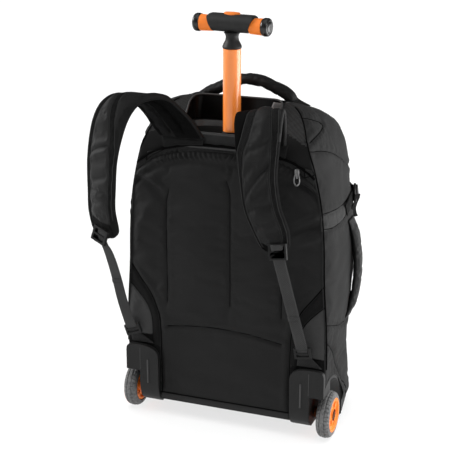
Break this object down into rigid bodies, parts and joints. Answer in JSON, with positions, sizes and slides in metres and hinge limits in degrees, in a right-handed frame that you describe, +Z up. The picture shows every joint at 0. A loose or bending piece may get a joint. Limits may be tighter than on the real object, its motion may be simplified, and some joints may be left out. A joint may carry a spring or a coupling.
{
  "type": "wheeled backpack",
  "caption": "Upright cloth backpack on wheels with padded shoulder straps, grab handles, corner wheel housings and a telescopic T-shaped pull handle.",
  "frame": {"origin": "on the floor, under the middle of the whole outline, straps included", "axes": "+Z up along the pull handle, -Y out of the back panel that carries the shoulder straps, +X to the right when facing that panel"},
  "size_m": [0.4119, 0.3207, 0.705],
  "materials": {
    "cloth_back": "dark grey woven polyester with a fine plain weave, matt",
    "cloth_side": "grey woven polyester, matt",
    "cloth_strap": "dark grey woven cloth over foam with black bound edges",
    "webbing": "dark grey flat woven webbing",
    "plastic": "black moulded plastic, lightly grained",
    "grip_rubber": "black moulded soft-touch grip",
    "orange_tube": "orange anodised aluminium tube, satin",
    "orange_plastic": "orange moulded plastic, satin",
    "tyre": "grey-black moulded wheel tyre",
    "steel": "bright zinc-plated metal"
  },
  "bodies": {
    "bag": {"back_panel": "cloth_back", "side_panel_right": "cloth_side", "side_panel_left": "cloth_side", "front_panel": "cloth_side", "top_panel": "cloth_side", "bottom_panel": "cloth_back", "front_foot": "plastic", "shoulder_strap_left": "cloth_strap", "shoulder_strap_right": "cloth_strap", "strap_anchor_right": "cloth_strap", "strap_anchor_left": "cloth_strap", "strap_webbing_left": "webbing", "strap_webbing_right": "webbing", "ladder_lock_left": "plastic", "ladder_lock_right": "plastic", "strap_buckle_left": "plastic", "strap_buckle_right": "plastic", "strap_tab_left": "webbing", "strap_tab_right": "webbing", "grab_handle": "cloth_strap", "side_handle": "cloth_strap", "side_strap_right": "webbing", "side_strap_left": "webbing", "side_buckle_right": "plastic", "side_buckle_left": "plastic", "zip_slider": "steel", "handle_well": "plastic", "pole_guide": "plastic", "wheel_housing_right": "plastic", "wheel_housing_left": "plastic", "axle_right": "steel", "axle_left": "steel"},
    "pole": {"pole_tube": "orange_tube", "handle_neck": "grip_rubber", "handle_grip": "grip_rubber", "grip_sleeve_right": "orange_plastic", "grip_sleeve_left": "orange_plastic", "grip_cap_right": "grip_rubber", "grip_cap_left": "grip_rubber"},
    "button": {"handle_button": "orange_plastic"},
    "wheel_left": {"tyre_left": "tyre", "hub_left": "orange_plastic"},
    "wheel_right": {"tyre_right": "tyre", "hub_right": "orange_plastic"}
  },
  "joints": [
    {"name": "pole_slide", "type": "slide", "parent": "bag", "child": "pole", "axis": [0, 0, 1], "range_m": [-0.127, 0.25]},
    {"name": "button_press", "type": "slide", "parent": "pole", "child": "button", "axis": [0, 0, -1], "range_m": [0, 0.003], "stiffness_N_per_m": 400, "springref_m": -0.002},
    {"name": "wheel_left_spin", "type": "hinge", "parent": "bag", "child": "wheel_left", "pos_m": [-0.1724, -0.0348, 0.04], "axis": [1, 0, 0], "continuous": true},
    {"name": "wheel_right_spin", "type": "hinge", "parent": "bag", "child": "wheel_right", "pos_m": [0.1796, -0.0348, 0.04], "axis": [1, 0, 0], "continuous": true}
  ]
}
